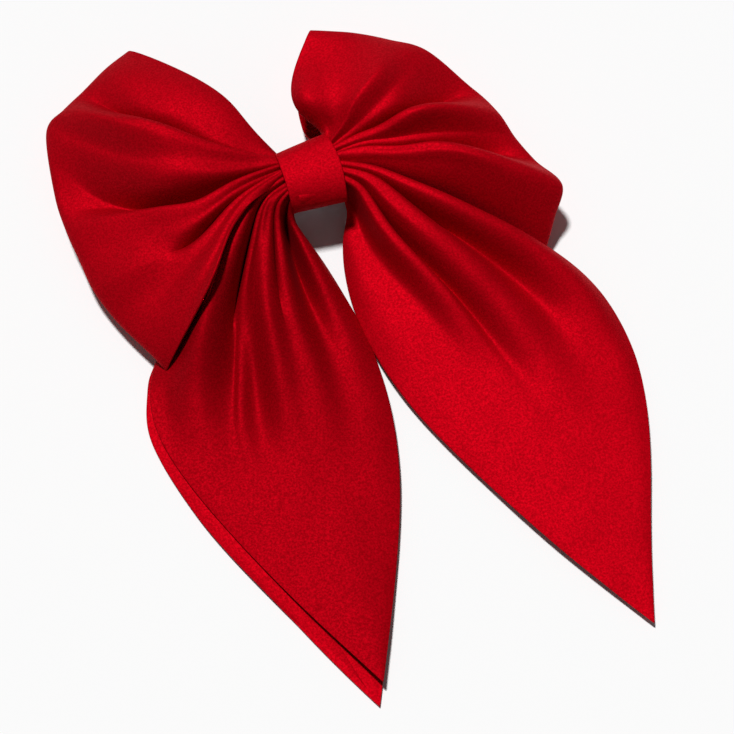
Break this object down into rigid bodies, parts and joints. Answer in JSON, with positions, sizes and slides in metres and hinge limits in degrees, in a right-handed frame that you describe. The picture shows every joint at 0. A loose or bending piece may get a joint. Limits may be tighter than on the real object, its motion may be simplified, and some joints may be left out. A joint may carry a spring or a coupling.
{
  "type": "hair bow",
  "caption": "Satin hair bow with puffed loops, long pointed tails and a wrapped knot, on a hinged metal hair barrette.",
  "frame": {"origin": "centre of the clasp's head side: under the middle of the knot, on the plane the bow rests on when it lies face up", "axes": "+Z out of the bow's face, +Y towards the bow's top, away from its tails, +X to the right as the bow is seen from the front"},
  "size_m": [0.1844, 0.269, 0.0371],
  "materials": {
    "satin": "satin weave with a soft sheen",
    "thread": "twisted sewing thread",
    "plated_steel": "nickel plated, softly polished",
    "spring_steel": "bright rolled spring steel"
  },
  "bodies": {
    "bow": {"left_loop": "satin", "right_loop": "satin", "left_tail": "satin", "right_tail": "satin", "centre_wrap": "satin", "gathered_centre": "satin", "gather_thread": "thread", "wrap_stitches": "thread", "barrette_bar": "plated_steel", "tension_spring": "spring_steel", "rivets": "plated_steel", "hinge_pin": "plated_steel", "catch_plate": "plated_steel"},
    "arm": {"clasp_arm": "plated_steel"},
    "prong_upper": {"catch_prong_upper": "spring_steel"},
    "prong_lower": {"catch_prong_lower": "spring_steel"}
  },
  "joints": [
    {"name": "clasp_hinge", "type": "hinge", "parent": "bow", "child": "arm", "pos_m": [-0.0385, 0.0015, 0.0026], "axis": [0, 1, 0], "range_deg": [0, 95]},
    {"name": "upper_prong_squeeze", "type": "hinge", "parent": "bow", "child": "prong_upper", "pos_m": [0.0385, 0.00395, 0.0056], "axis": [-1, 0, 0], "range_deg": [0, 6], "stiffness_Nm_per_rad": 0.01},
    {"name": "lower_prong_squeeze", "type": "hinge", "parent": "bow", "child": "prong_lower", "pos_m": [0.0385, -0.00095, 0.0056], "axis": [1, 0, 0], "range_deg": [0, 6], "stiffness_Nm_per_rad": 0.01}
  ]
}
